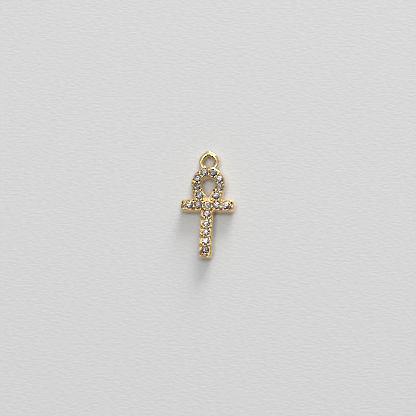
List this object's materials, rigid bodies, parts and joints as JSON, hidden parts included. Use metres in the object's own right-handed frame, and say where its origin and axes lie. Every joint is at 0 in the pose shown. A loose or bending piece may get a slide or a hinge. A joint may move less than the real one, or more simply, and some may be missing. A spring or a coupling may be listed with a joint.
{
  "type": "ankh cross charm",
  "caption": "Small pave-set ankh cross charm: a cast metal setting with a teardrop loop, crossbar, stem and hanging eye, set with round faceted stones.",
  "frame": {"origin": "middle of the bounding box in X and Y, on the flat back", "axes": "+X across the crossbar, +Y up the stem towards the eye, +Z out of the front of the charm"},
  "size_m": [0.007, 0.0146, 0.0018],
  "materials": {
    "gold_plated_brass": "polished gold plate",
    "clear_stone": "cut and polished colourless stone"
  },
  "bodies": {
    "root": {"setting": "gold_plated_brass", "stone_loop_1": "clear_stone", "stone_loop_2": "clear_stone", "stone_loop_3": "clear_stone", "stone_loop_4": "clear_stone", "stone_loop_5": "clear_stone", "stone_loop_6": "clear_stone", "stone_loop_7": "clear_stone", "stone_loop_8": "clear_stone", "stone_bar_1": "clear_stone", "stone_bar_2": "clear_stone", "stone_bar_3": "clear_stone", "stone_bar_4": "clear_stone", "stone_bar_5": "clear_stone", "stone_stem_1": "clear_stone", "stone_stem_2": "clear_stone", "stone_stem_3": "clear_stone", "stone_stem_4": "clear_stone", "stone_stem_5": "clear_stone"}
  },
  "joints": []
}
